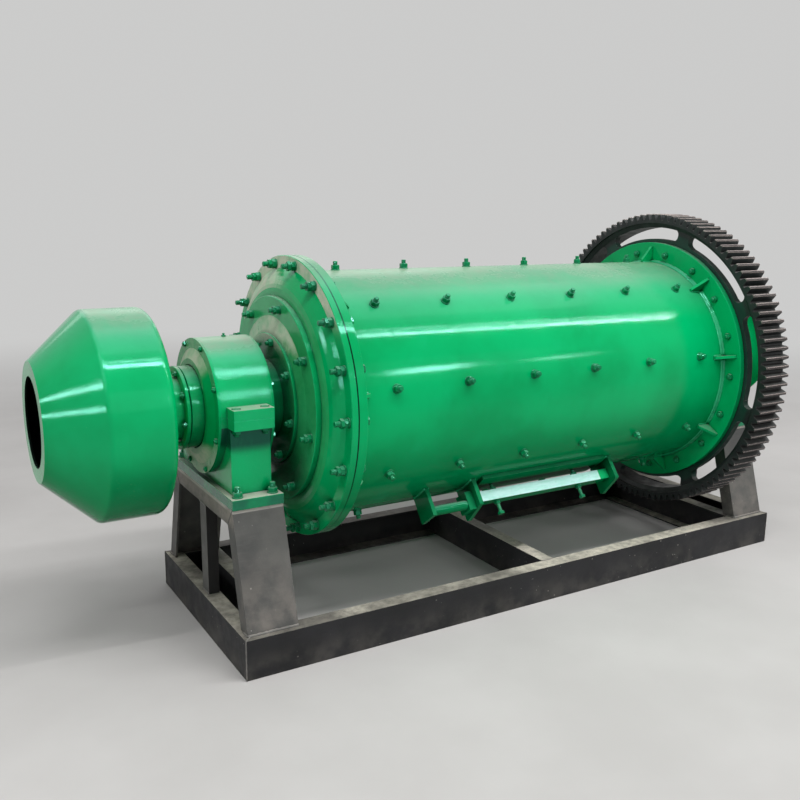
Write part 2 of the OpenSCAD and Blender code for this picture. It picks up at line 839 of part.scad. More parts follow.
module hatch_bracket() {
    foot = sqrt(pow(shell_radius, 2) - pow(bracket_width / 2, 2));
    color("limegreen") placed()
        radial(hatch_left - lug_thickness - bracket_distance - bracket_thickness, hatch_angle)
            difference() {
                translate([0, -bracket_width / 2, foot - eps])
                    cube([bracket_thickness, bracket_width, shell_radius + bracket_height - foot + eps]);
                rotate([0, 90, 0]) translate([0, 0, -eps])
                    cylinder(r = shell_radius + seat, h = bracket_thickness + 2 * eps);
            }
}

front_beam();
back_beam();
left_end_beam();
right_end_beam();
left_cross_member();
middle_cross_member();
right_cross_member();
left_front_leg();
left_back_leg();
left_top_channel();
left_middle_post();
right_front_leg();
right_back_leg();
right_top_channel();
right_middle_post();
left_pedestal();
left_cap();
left_outer_cover();
left_inner_cover();
right_pedestal();
right_cap();
right_outer_cover();
right_inner_cover();
feed_drum();
feed_neck();
feed_trunnion();
feed_seal_ring();
feed_head();
shell();
feed_flange();
gear_flange();
girth_gear();
gear_head();
gear_trunnion();
gear_seal_ring();
discharge_bell();
hatch_cover();
hatch_bar();
hatch_left_lug();
hatch_right_lug();
hatch_block();
hatch_drawbar();
hatch_bracket();
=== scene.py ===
import math
import random
from collections import namedtuple

import bpy
from mathutils import Matrix, Vector


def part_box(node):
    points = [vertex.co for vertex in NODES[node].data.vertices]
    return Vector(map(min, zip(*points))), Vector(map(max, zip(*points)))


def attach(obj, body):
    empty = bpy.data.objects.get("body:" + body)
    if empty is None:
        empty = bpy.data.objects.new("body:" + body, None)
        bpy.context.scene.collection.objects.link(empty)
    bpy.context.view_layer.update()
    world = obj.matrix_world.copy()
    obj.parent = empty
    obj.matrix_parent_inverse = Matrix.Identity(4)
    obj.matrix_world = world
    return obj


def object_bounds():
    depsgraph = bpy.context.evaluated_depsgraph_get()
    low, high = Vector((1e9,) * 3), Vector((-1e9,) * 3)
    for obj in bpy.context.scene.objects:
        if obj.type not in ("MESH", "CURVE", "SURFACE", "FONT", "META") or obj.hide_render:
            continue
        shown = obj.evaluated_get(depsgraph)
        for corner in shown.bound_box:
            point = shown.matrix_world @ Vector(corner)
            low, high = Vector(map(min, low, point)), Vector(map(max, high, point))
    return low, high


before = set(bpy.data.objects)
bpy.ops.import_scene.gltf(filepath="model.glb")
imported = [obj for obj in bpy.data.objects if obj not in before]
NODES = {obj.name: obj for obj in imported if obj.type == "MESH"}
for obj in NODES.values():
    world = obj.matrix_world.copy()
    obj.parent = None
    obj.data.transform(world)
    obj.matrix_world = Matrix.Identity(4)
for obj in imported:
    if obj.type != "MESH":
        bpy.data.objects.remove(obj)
CAD_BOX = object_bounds()
BOXES = {name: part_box(name) for name in NODES}
TAU = 2 * math.pi
X, Y, Z = 0, 1, 2
UP = (0, 0, 1)
DOWN = (0, 0, -1)
TO_FEEDER = (-1, 0, 0)
TO_BACK = (0, 1, 0)


def low(node, axis):
    """Lowest coordinate of a node's box along an axis."""
    return BOXES[node][0][axis]


def high(node, axis):
    """Highest coordinate of a node's box along an axis."""
    return BOXES[node][1][axis]


def middle(node, axis):
    """Middle of a node's box along an axis."""
    return (low(node, axis) + high(node, axis)) / 2


def reach(node):
    """Radius of a node that is round about the mill's axis."""
    return (high(node, Z) - low(node, Z)) / 2


# Thicknesses in metres that a box doesn't give
HEAD_FLANGE = 0.025
FEED_FLANGE = 0.034
GEAR_FLANGE = 0.025
GEAR_RING = 0.030
TRUNNION_FLANGE = 0.020
NECK_FLANGE = 0.016
COVER_CONE = 0.016
CAP_EAR = 0.035
SPOT_DEPTH = 0.009
BASE_PLATE = 0.035
HALF_GUSSET = 0.006

# Places on the machine in metres, taken from the frame
AXIS_Z = middle("shell", Z)
SHELL_R = reach("shell")
SHELL_START = low("shell", X)
SHELL_END = high("shell", X)
FEEDER_X = middle("feed_drum", X)
FRAME_X = middle("front_beam", X)
BEAM_TOP = high("front_beam", Z)
PLATE_TOP = low("left_pedestal", Z) + BASE_PLATE
CAP_JOINT = AXIS_Z - CAP_EAR

# The hatch and the flanges' gussets, at angles in degrees from the top towards the front
HATCH_ANGLE = 142.7
GUSSET_FIRST = 0.5
GUSSET_COUNT = 9
GUSSET_STEP = 360 / GUSSET_COUNT


# Mesh helpers
class Builder:
    """Collects vertices and faces of many small parts into one mesh."""

    def __init__(self):
        self.verts = []
        self.faces = []
        self.smooth = []

    def add(self, verts, faces, place, smooth=False):
        base = len(self.verts)
        self.verts += [place @ Vector(v) for v in verts]
        self.faces += [[i + base for i in face] for face in faces]
        self.smooth += [smooth] * len(faces)

    def rings(self, rings, place, smooth=False, closed=False):
        """Joins equally long rings of points one after another, capped unless the row is closed."""
        size = len(rings[0])
        count = len(rings)
        verts = [point for ring in rings for point in ring]
        faces = []
        for i in range(count if closed else count - 1):
            this = i * size
            following = ((i + 1) % count) * size
            for j in range(size):
                k = (j + 1) % size
                faces.append([this + j, this + k, following + k, following + j])
        if not closed:
            faces.append(list(range(size))[::-1])
            faces.append([(count - 1) * size + j for j in range(size)])
        self.add(verts, faces, place, smooth)

    def object(self, name, body, material):
        """Makes one piece of all that was collected."""
        mesh = bpy.data.meshes.new(name)
        mesh.from_pydata([tuple(v) for v in self.verts], [], self.faces)
        mesh.polygons.foreach_set("use_smooth", self.smooth)
        mesh.update()
        mesh.validate()
        piece = bpy.data.objects.new(name, mesh)
        bpy.context.scene.collection.objects.link(piece)
        mesh.materials.append(material)
        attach(piece, body)


def circle(radius, z, count):
    """Points round local Z at a height."""
    turns = [TAU * i / count for i in range(count)]
    return [(radius * math.cos(turn), radius * math.sin(turn), z) for turn in turns]


def aim(origin, direction, spin=0.0):
    """Matrix that puts local +Z along direction at origin."""
    z = Vector(direction).normalized()
    side = Vector((0, 0, 1)) if abs(z.z) < 0.9 else Vector((1, 0, 0))
    x = side.cross(z).normalized()
    y = z.cross(x)
    turn = Matrix((x, y, z)).transposed().to_4x4()
    return Matrix.Translation(Vector(origin)) @ turn @ Matrix.Rotation(spin, 4, "Z")


def polar(x, radius, degrees):
    """Point at an angle from the top, counted towards the front."""
    angle = math.radians(degrees)
    return Vector((x, -radius * math.sin(angle), AXIS_Z + radius * math.cos(angle)))


def outward(degrees):
    """Direction away from the mill's axis at an angle from the top."""
    angle = math.radians(degrees)
    return Vector((0, -math.sin(angle), math.cos(angle)))


def line(start, end, step=0.007):
    """Points along a straight line, about a step apart."""
    start, end = Vector(start), Vector(end)
    count = max(2, int((end - start).length / step))
    return [start.lerp(end, i / count) for i in range(count + 1)]


def arc(x, radius, start, sweep, step=0.008):
    """Points round the mill's axis. A full turn doesn't repeat its first point."""
    steps = max(6, int(math.radians(sweep) * radius / step))
    count = steps if sweep >= 360 else steps + 1
    return [polar(x, radius, start + sweep * i / steps) for i in range(count)]


# Fasteners and welds
def washer(out, place, radius, thickness):
    """Washer with a chamfered upper edge."""
    edge = min(0.0012, thickness / 3)
    out.rings([circle(radius, 0, 24), circle(radius, thickness - edge, 24),
               circle(radius - edge, thickness, 24)], place)


def nut(out, place, flats, height, z=0.0):
    """Hexagon nut or head with both chamfers."""
    corner = flats / math.sqrt(3)
    chamfer = height * 0.14

    def ring(level, limit):
        points = []
        for i in range(12):
            turn = TAU * i / 12
            radius = min(corner if i % 2 == 0 else flats / 2, limit)
            points.append((radius * math.cos(turn), radius * math.sin(turn), level))
        return points

    out.rings([ring(z, flats * 0.5), ring(z + chamfer, corner), ring(z + height - chamfer, corner),
               ring(z + height, flats * 0.49)], place)


def thread(out, place, radius, start, end):
    """Threaded end: fine ridges under a chamfered tip."""
    pitch = max(0.0022, radius * 0.22)
    rings = []
    z = start
    ridge = True
    while z < end - pitch:
        rings.append(circle(radius if ridge else radius * 0.9, z, 14))
        z += pitch / 2
        ridge = not ridge
    rings.append(circle(radius * 0.95, end - pitch * 0.6, 14))
    rings.append(circle(radius * 0.72, end, 14))
    out.rings(rings, place)


class Bolt:
    """A nut on its threaded end, with a washer and a lock nut where it has them.

    flats is the width across the flats, shank the thread's radius and proud how far it stands out;
    seat is the washer's radius and lock the lock nut's height.
    """

    LOCK_GAP = 0.0008
    THREAD_OVERLAP = 0.002

    def __init__(self, flats, height, shank, proud, seat=0.0, seat_height=0.0035, lock=0.0):
        self.flats = flats
        self.height = height
        self.shank = shank
        self.proud = proud
        self.seat = seat
        self.seat_height = seat_height
        self.lock = lock

    def draw(self, out, origin, direction):
        place = aim(origin, direction, random.uniform(0, TAU))
        top = 0.0
        if self.seat:
            washer(out, place, self.seat, self.seat_height)
            top = self.seat_height
        nut(out, place, self.flats, self.height, top)
        top += self.height
        if self.lock:
            turned = place @ Matrix.Rotation(random.uniform(0.1, 0.9), 4, "Z")
            nut(out, turned, self.flats, self.lock, top + self.LOCK_GAP)
            top += self.lock + self.LOCK_GAP
        thread(out, place, self.shank, top - self.THREAD_OVERLAP, top + self.proud)

    def ring(self, out, x, way, places):
        """Bolts on a face that is square to the mill's axis; way is 1 or -1 along X."""
        for i in range(places.count):
            angle = places.first + i * 360 / places.count
            self.draw(out, polar(x, places.radius, angle), (way, 0, 0))


def bead(out, points, normals, size, seed, closed=False):
    """Lumpy weld bead along points; normals is one direction, or one for each point."""
    lumps = random.Random(seed)
    count = len(points)
    turns = [TAU * k / 8 for k in range(8)]
    rings = []
    for i, point in enumerate(points):
        before = points[(i - 1) % count] if closed or i > 0 else point
        after = points[(i + 1) % count] if closed or i < count - 1 else point
        along = (after - before).normalized()
        up = normals[i] if isinstance(normals, list) else normals
        up = (up - along * up.dot(along)).normalized()
        side = along.cross(up)
        radius = size * (0.84 + 0.16 * (i % 3) / 2 + lumps.uniform(-0.12, 0.12))
        centre = point + side * lumps.uniform(-0.1, 0.1) * size
        rings.append([centre + side * (radius * math.cos(turn)) + up * (radius * 0.72 * math.sin(turn))
                      for turn in turns])
    out.rings(rings, Matrix.Identity(4), smooth=True, closed=closed)


def corner_bead(out, points, way, size, seed, closed=False):
    """Bead in the corner between the shell and a face across it that looks along X by way."""

    def leaning(point):
        from_axis = (point - Vector((point.x, 0, AXIS_Z))).normalized()
        return (Vector((way, 0, 0)) + from_axis).normalized()

    bead(out, points, [leaning(point) for point in points], size, seed, closed)


# Colours
def srgb(red, green, blue):
    """Linear colour of an sRGB colour given in 0 to 255."""

    def linear(value):
        value /= 255.0
        return value / 12.92 if value <= 0.04045 else ((value + 0.055) / 1.055) ** 2.4

    return (linear(red), linear(green), linear(blue), 1.0)


ENAMEL = srgb(0, 176, 102)
ENAMEL_DEEP = srgb(0, 152, 84)
ENAMEL_LIGHT = srgb(34, 202, 142)
ENAMEL_UNDERSIDE_SHADE = srgb(0, 108, 62)
ENAMEL_CORNER_SHADE = srgb(0, 58, 34)
ENAMEL_RECESS_SHADE = srgb(0, 30, 20)
ENAMEL_SKY_SHEEN = srgb(84, 176, 144)
ENAMEL_SOILED = srgb(30, 92, 66)
ENAMEL_JOINT_SHADOW = srgb(0, 62, 42)
ENAMEL_UNLIT = srgb(14, 20, 17)
OLIVE_SHADE = srgb(34, 92, 52)
REFLECTION_MINT = srgb(204, 245, 240)
REFLECTION_STREAK = srgb(178, 234, 222)
GLOSS_TINT = (0.32, 1.0, 0.85, 1.0)

DUST = srgb(188, 176, 166)
ENAMEL_DUST = srgb(158, 150, 142)
PALE_DUST = srgb(216, 209, 194)
PLATE_TOP_PALE = srgb(206, 202, 190)
GEAR_DUST = srgb(196, 184, 178)

BEAM_PRIMER = srgb(18, 19, 21)
STAND_PRIMER = srgb(66, 67, 66)
STAND_PRIMER_PALE = srgb(92, 92, 89)
BARE_EDGE = srgb(140, 136, 130)
PALE_TOP_EDGE = srgb(196, 192, 184)
FRAME_SHADE = srgb(12, 12, 13)
CHIP = srgb(178, 176, 170)
SPATTER = srgb(168, 164, 156)
SCRATCH = srgb(140, 138, 132)

GEAR_RIM = srgb(19, 25, 25)
GEAR_RIM_PALE = srgb(35, 42, 41)
GEAR_WEB = srgb(6, 44, 34)
GEAR_WEB_PALE = srgb(20, 60, 48)
GEAR_EDGE = srgb(126, 118, 112)
GEAR_SHADE = srgb(6, 8, 8)
TOOTH_LAND = srgb(50, 43, 42)

BACKDROP = (0.60, 0.60, 0.595, 1)
FLOOR_DARK = (0.505, 0.49, 0.48, 1)
FLOOR_PALE = (0.565, 0.55, 0.54, 1)
SOFT_SKY = (0.92, 0.97, 1.0, 1)

BUMP_HEIGHT = 0.0012
DULL_SHINE = 0.35


# Materials
class Graph:
    """Short calls for building a node material."""

    def __init__(self, name):
        self.material = bpy.data.materials.new(name)
        self.material.use_nodes = True
        self.tree = self.material.node_tree
        self.tree.nodes.clear()
        self.out = self.node("ShaderNodeOutputMaterial")
        self.shader = self.node("ShaderNodeBsdfPrincipled")
        self.link(self.shader.outputs[0], self.out.inputs[0])
        self.coords = self.node("ShaderNodeTexCoord")

    def node(self, kind, **values):
        made = self.tree.nodes.new(kind)
        for key, value in values.items():
            setattr(made, key, value)
        return made

    def link(self, output, socket):
        self.tree.links.new(output, socket)

    def put(self, socket, value):
        """Links a node's output to a socket, or sets a plain value on it."""
        if hasattr(value, "is_linked"):
            self.link(value, socket)
        else:
            socket.default_value = value

    def math(self, kind, first, second=0.0, clamp=False):
        made = self.node("ShaderNodeMath", operation=kind, use_clamp=clamp)
        self.put(made.inputs[0], first)
        self.put(made.inputs[1], second)
        return made.outputs[0]

    def times(self, *values):
        result = values[0]
        for value in values[1:]:
            result = self.math("MULTIPLY", result, value)
        return result

    def ramp(self, value, start, end, to_start=0.0, to_end=1.0):
        """Goes smoothly from to_start to to_end while a value goes from start to end."""
        made = self.node("ShaderNodeMapRange", interpolation_type="SMOOTHSTEP")
        self.put(made.inputs["Value"], value)
        made.inputs["From Min"].default_value = start
        made.inputs["From Max"].default_value = end
        made.inputs["To Min"].default_value = to_start
        made.inputs["To Max"].default_value = to_end
        return made.outputs["Result"]

    def stretched(self, scale):
        """Coordinates scaled along each axis, which stretches a pattern along the smallest."""
        made = self.node("ShaderNodeMapping")
        self.link(self.coords.outputs["Object"], made.inputs["Vector"])
        made.inputs["Scale"].default_value = scale
        return made.outputs["Vector"]

    def noise(self, scale, detail=3.0, rough=0.55, vector=None):
        made = self.node("ShaderNodeTexNoise")
        self.link(vector or self.coords.outputs["Object"], made.inputs["Vector"])
        made.inputs["Scale"].default_value = scale
        made.inputs["Detail"].default_value = detail
        made.inputs["Roughness"].default_value = rough
        return made.outputs["Fac"]

    def cells(self, scale, vector=None):
        made = self.node("ShaderNodeTexVoronoi")
        self.link(vector or self.coords.outputs["Object"], made.inputs["Vector"])
        made.inputs["Scale"].default_value = scale
        return made.outputs["Distance"]

    def mix(self, mask, under, over):
        """The colour under where the mask is 0, the colour over where it is 1."""
        made = self.node("ShaderNodeMix", data_type="RGBA")
        self.put(made.inputs[0], mask)
        self.put(made.inputs[6], under)
        self.put(made.inputs[7], over)
        return made.outputs[2]

    def dot(self, first, second):
        made = self.node("ShaderNodeVectorMath", operation="DOT_PRODUCT")
        self.put(made.inputs[0], first)
        self.put(made.inputs[1], second)
        return made.outputs["Value"]

    def length(self, vector):
        made = self.node("ShaderNodeVectorMath", operation="LENGTH")
        self.link(vector, made.inputs[0])
        return made.outputs["Value"]

    def part_of(self, vector, axis):
        made = self.node("ShaderNodeSeparateXYZ")
        self.link(vector, made.inputs[0])
        return made.outputs[axis]

    def place(self, axis):
        """A point's coordinate at rest."""
        return self.part_of(self.coords.outputs["Object"], axis)

    def facing(self, direction):
        """How far the surface looks along a direction at rest, -1 to 1."""
        return self.dot(self.coords.outputs["Normal"], direction)

    def square_to(self, direction):
        """1 on faces that look straight along a direction."""
        return self.ramp(self.facing(direction), 0.9, 0.98)

    def from_axis(self):
        """The vector from the mill's axis to the point, across the axis."""
        made = self.node("ShaderNodeMapping")
        self.link(self.coords.outputs["Object"], made.inputs["Vector"])
        made.inputs["Location"].default_value = (0, 0, -AXIS_Z)
        made.inputs["Scale"].default_value = (0, 1, 1)
        return made.outputs["Vector"]

    def axis_distance(self):
        return self.length(self.from_axis())

    def looks_inward(self):
        """1 where the surface faces the mill's axis."""
        return self.ramp(self.dot(self.coords.outputs["Normal"], self.from_axis()), -0.004, -0.012)

    def crevice(self, distance, open_from=0.72, shut_at=0.3):
        """1 deep in corners and under heads, 0 on open faces."""
        made = self.node("ShaderNodeAmbientOcclusion", samples=6)
        made.inputs["Distance"].default_value = distance
        return self.ramp(made.outputs["AO"], open_from, shut_at)

    def rounded(self, radius):
        """Normal with the hard edges rounded off, and a mask of those edges."""
        bevel = self.node("ShaderNodeBevel", samples=4)
        bevel.inputs["Radius"].default_value = radius
        flat = self.node("ShaderNodeNewGeometry")
        likeness = self.dot(bevel.outputs["Normal"], flat.outputs["Normal"])
        return bevel.outputs["Normal"], self.ramp(likeness, 0.995, 0.86)

    def rises(self, normal):
        """1 where a rounded normal looks higher up than the face itself, so on upper edges."""
        flat = self.node("ShaderNodeNewGeometry")
        lift = self.math("SUBTRACT", self.part_of(normal, "Z"), self.part_of(flat.outputs["Normal"], "Z"))
        return self.ramp(lift, 0.01, 0.11)

    def bump(self, height, strength, normal):
        made = self.node("ShaderNodeBump")
        made.inputs["Strength"].default_value = strength
        made.inputs["Distance"].default_value = BUMP_HEIGHT
        self.link(height, made.inputs["Height"])
        self.link(normal, made.inputs["Normal"])
        return made.outputs["Normal"]


# A thin coat of another colour on the faces that look one way. near says how nearly they look that
# way, heights where it comes in over, and radii what it lies between round the mill's axis.
Coat = namedtuple("Coat", "facing near heights radii colour strength")

# Painted shadow below a joint: none at the first height, full from the second height up to the joint.
JointShadow = namedtuple("JointShadow", "clean dark joint")


def soiled_foot(g, colour, height):
    """Splashed dirt below a height."""
    soil = g.times(g.ramp(g.place("Z"), height + 0.006, height - 0.006),
                   g.ramp(g.noise(11.0, 5.0), 0.25, 0.6, 0.5, 0.95))
    return g.mix(soil, colour, ENAMEL_SOILED)


def painted_reflection(g, colour, facing, end):
    """Painted reflection: streaky pale mint on the side that looks one way, as far as end along X."""
    on_side = g.times(g.square_to(facing), g.ramp(g.place("X"), end + 0.0006, end - 0.0006))
    streaks = g.noise(24.0, 4.0, 0.6, g.stretched((0.6, 3.0, 3.0)))
    reflection = g.mix(g.ramp(streaks, 0.35, 0.7), REFLECTION_MINT, REFLECTION_STREAK)
    return g.mix(on_side, colour, reflection)


def lay_coats(g, film, settled, coats):
    """Adds coats, of dust and of painted shade, to the film, and their colours to its colour."""
    fade = 0.008
    for coat in coats:
        inner, outer = coat.radii
        streaky = g.ramp(g.noise(16.0, 6.0, 0.7), 0.3, 0.62, 0.45, 1.0)
        on_face = g.times(g.ramp(g.facing(coat.facing), coat.near, coat.near + 0.06),
                          g.ramp(g.place("Z"), *coat.heights),
                          g.ramp(g.axis_distance(), inner, inner + fade),
                          g.ramp(g.axis_distance(), outer, outer - fade), streaky, coat.strength)
        film = g.math("MAXIMUM", film, on_face)
        settled = g.mix(g.ramp(on_face, 0.0, 0.3), settled, coat.colour)
    return film, settled


def shadow_under_joint(g, colour, joint_shadow):
    """Patchy painted shadow below a joint."""
    ragged = g.noise(14.0, 5.0, 0.6, g.stretched((1.0, 1.0, 0.3)))
    vertical_streaks = g.times(g.ramp(g.place("Z"), joint_shadow.clean, joint_shadow.dark),
                   g.ramp(g.place("Z"), joint_shadow.joint + 0.003, joint_shadow.joint),
                   g.ramp(ragged, 0.2, 0.5, 0.6, 0.95))
    return g.mix(vertical_streaks, colour, ENAMEL_JOINT_SHADOW)


def pale_plate_top(g, colour, height, grain):
    """Pale on the level face of a plate whose top is at a height."""
    on_plate = g.times(g.ramp(g.place("Z"), height + 0.004, height + 0.001), g.square_to(UP))
    return g.mix(g.times(on_plate, grain, 0.9), colour, PLATE_TOP_PALE)


def unlit(g, colour, start, end):
    """Painted shade, nearly black, inside a drum: its round wall, and faces to the feeder from start to
    end on.
    """
    back_wall = g.times(g.square_to(TO_FEEDER), g.ramp(g.place("X"), start, end))
    return g.mix(g.math("MAXIMUM", g.looks_inward(), back_wall), colour, ENAMEL_UNLIT)


def orange_peel(g, normal, cast):
    """Fine waves of sprayed paint, with the grain of the mould where it is cast."""
    peel = g.math("ADD", g.noise(230.0, 2.0), g.times(g.noise(34.0, 3.0), 1.5))
    if cast:
        peel = g.math("ADD", peel, g.times(g.noise(75.0, 4.0, 0.65), 2.8 * cast))
        peel = g.math("ADD", peel, g.times(g.noise(420.0, 2.0), 1.2 * cast))
    peel = g.math("ADD", peel, g.times(g.noise(5.0, 2.0), 3.5))
    return g.bump(peel, 0.1 + 0.06 * cast, normal)


def enamel(name, base=ENAMEL, deep=ENAMEL_DEEP, light=ENAMEL_LIGHT, dust=0.6, edge=0.0015, gloss=0.05,
           cast=0.0, corner_shade=1.0, coats=(), joint_shadow=None, shaded=0.0, soiled_below=None, shine=0.17,
           dark_inside=None, reflection_on=None):
    """Sprayed gloss enamel: patchy tone, orange peel, thin paint on edges, painted shade in corners, dust
    on top.

    edge is the radius of the edges, gloss the least roughness and shine the specular level;
    cast, from 0 up, roughens it as on a casting; shaded is how far the painted shade in deep recesses
    reaches;
    soiled_below is the height of a plate's top, below which it is dirty;
    dark_inside is where along X the painted shade on a drum's back wall may begin, as (start, end);
    the last argument gives a side with a painted reflection in pale mint, as (direction it looks, its end
    along X).
    """
    g = Graph(name)
    normal, edges = g.rounded(edge)
    colour = g.mix(g.ramp(g.noise(2.4, 4.0), 0.34, 0.72), base, deep)
    # Painted shade: faces that look down are darker.
    colour = g.mix(g.ramp(g.facing(UP), -0.1, -0.8, 0.0, 0.9), colour, ENAMEL_UNDERSIDE_SHADE)
    if soiled_below:
        colour = soiled_foot(g, colour, soiled_below)
    if reflection_on:
        colour = painted_reflection(g, colour, *reflection_on)
    patch = g.times(g.ramp(g.noise(9.0, 5.0, 0.6), 0.54, 0.8), 0.12)
    colour = g.mix(patch, colour, light)
    # Painted sheen: faces that look up turn paler, like light reflected from above.
    colour = g.mix(g.ramp(g.facing(UP), 0.5, 0.95, 0.0, 0.5), colour, ENAMEL_SKY_SHEEN)
    vertical_streaks = g.noise(7.0, 3.0, 0.5, g.stretched((9.0, 9.0, 0.7)))
    colour = g.mix(g.times(g.ramp(vertical_streaks, 0.56, 0.76), 0.12), colour, deep)
    worn = g.times(edges, g.ramp(g.noise(60.0, 4.0), 0.36, 0.6), 0.6)
    colour = g.mix(worn, colour, light)
    # Painted shade in corners and under heads, a little patchy.
    corner_shade_mask = g.times(g.crevice(0.022), g.ramp(g.noise(30.0, 4.0), 0.2, 0.6, 0.55, 0.95), corner_shade)
    colour = g.mix(corner_shade_mask, colour, ENAMEL_CORNER_SHADE)
    specks = g.times(g.ramp(g.cells(80.0), 0.07, 0.03), g.ramp(g.noise(5.0, 2.0), 0.56, 0.68), 0.5)
    colour = g.mix(specks, colour, DUST)
    grain = g.ramp(g.noise(34.0, 6.0, 0.7), 0.25, 0.75, 0.62, 1.0)
    swept = g.ramp(g.noise(3.5, 4.0, 0.6), 0.3, 0.62, 0.55, 1.0)
    film = g.times(g.ramp(g.facing(UP), 0.76, 1.0), grain, swept, dust)
    settled = g.mix(g.ramp(g.facing(UP), 0.95, 1.0), ENAMEL_DUST, DUST)
    film, settled = lay_coats(g, film, settled, coats)
    # Painted shadow below a joint.
    if joint_shadow:
        colour = shadow_under_joint(g, colour, joint_shadow)
    colour = g.mix(film, colour, settled)
    if soiled_below:
        colour = pale_plate_top(g, colour, soiled_below, grain)
    # Painted shade: deep recesses turn nearly black.
    if shaded:
        colour = g.mix(g.times(g.crevice(shaded, 0.6, 0.22), 0.85), colour, ENAMEL_RECESS_SHADE)
    if dark_inside:
        colour = unlit(g, colour, *dark_inside)
    g.link(colour, g.shader.inputs["Base Color"])
    cloudy = g.ramp(g.noise(12.0, 5.0), 0.3, 0.7, gloss, gloss + 0.06)
    rough = g.math("ADD", cloudy, g.times(film, 0.55), clamp=True)
    g.link(rough, g.shader.inputs["Roughness"])
    g.link(orange_peel(g, normal, cast), g.shader.inputs["Normal"])
    level = g.ramp(g.facing(UP), -0.1, -0.5, shine, shine * 0.2)
    g.link(level, g.shader.inputs["Specular IOR Level"])
    g.shader.inputs["Specular Tint"].default_value = GLOSS_TINT
    return g.material


# A height above the whole machine
OUT_OF_REACH = 9.0


def frame_paint(name, base, pale, dust=0.8, gloss=0.45, dusty_from=OUT_OF_REACH, pale_top=OUT_OF_REACH,
                splashed=0.14, splash_top=0.12, lying_dust=DUST, shade_flanks=False):
    """Thin dark primer on rolled steel: cloudy, brushed, scratched, speckled and dusty on top.

    Above the height dusty_from the feeder's side is dusty too; the height after it is that of a top
    edge that is pale over its last centimetre; splash_top is how high the splashes reach from the ground,
    and splashed how thick they lie;
    the last flag blackens the faces that look to the front or the back with painted shade.
    """
    g = Graph(name)
    normal, edges = g.rounded(0.0018)
    colour = g.mix(g.ramp(g.noise(5.0, 6.0, 0.62), 0.3, 0.72), base, pale)
    streak = g.noise(16.0, 4.0, 0.6, g.stretched((1.0, 1.0, 7.0)))
    colour = g.mix(g.times(g.ramp(streak, 0.5, 0.75), 0.3), colour, pale)
    worn = g.times(edges, g.ramp(g.noise(42.0, 5.0), 0.42, 0.6), 0.6)
    colour = g.mix(worn, colour, BARE_EDGE)
    # Painted shade in corners.
    colour = g.mix(g.times(g.crevice(0.03), 0.7), colour, FRAME_SHADE)
    chips = g.times(g.ramp(g.cells(46.0), 0.1, 0.05), g.ramp(g.noise(4.0, 3.0), 0.52, 0.64), 0.75)
    colour = g.mix(chips, colour, CHIP)
    spatter = g.times(g.ramp(g.cells(26.0), 0.11, 0.05), g.ramp(g.noise(6.0, 3.0), 0.5, 0.6), 0.5)
    colour = g.mix(spatter, colour, SPATTER)
    scratch = g.cells(9.0, g.stretched((1.0, 1.0, 14.0)))
    colour = g.mix(g.times(g.ramp(scratch, 0.026, 0.01), 0.45), colour, SCRATCH)
    grain = g.ramp(g.noise(28.0, 6.0, 0.72), 0.22, 0.7, 0.35, 1.0)
    drift = g.ramp(g.noise(3.0, 3.0), 0.35, 0.65, 0.25, 1.0)
    lying = g.times(g.ramp(g.facing(UP), 0.6, 0.98), grain, drift, dust)
    splash = g.times(g.ramp(g.place("Z"), splash_top, 0.0, 0.0, splashed),
                     g.ramp(g.noise(12.0, 5.0), 0.35, 0.7))
    aside = g.times(g.ramp(g.facing(TO_FEEDER), 0.8, 0.98),
                    g.ramp(g.place("Z"), dusty_from, dusty_from + 0.05), grain, 0.5)
    film = g.math("ADD", g.math("ADD", lying, splash), aside, clamp=True)
    colour = g.mix(film, colour, lying_dust)
    # Painted shade on the flanks that look to the front or the back.
    if shade_flanks:
        flank = g.ramp(g.math("ABSOLUTE", g.facing(TO_BACK)), 0.9, 0.98)
        colour = g.mix(g.times(flank, 0.9), colour, FRAME_SHADE)
    top_edge = g.times(g.ramp(g.place("Z"), pale_top - 0.013, pale_top - 0.009),
                       g.ramp(g.noise(9.0, 5.0), 0.26, 0.5))
    colour = g.mix(g.times(top_edge, 0.75), colour, PALE_TOP_EDGE)
    g.link(colour, g.shader.inputs["Base Color"])
    cloudy = g.ramp(g.noise(20.0, 5.0), 0.3, 0.7, gloss, gloss + 0.18)
    rough = g.math("ADD", cloudy, g.times(film, 0.35), clamp=True)
    g.link(rough, g.shader.inputs["Roughness"])
    skin = g.math("ADD", g.noise(190.0, 3.0), g.times(g.noise(24.0, 4.0), 1.3))
    g.link(g.bump(skin, 0.22, normal), g.shader.inputs["Normal"])
    g.shader.inputs["Specular IOR Level"].default_value = DULL_SHINE
    return g.material


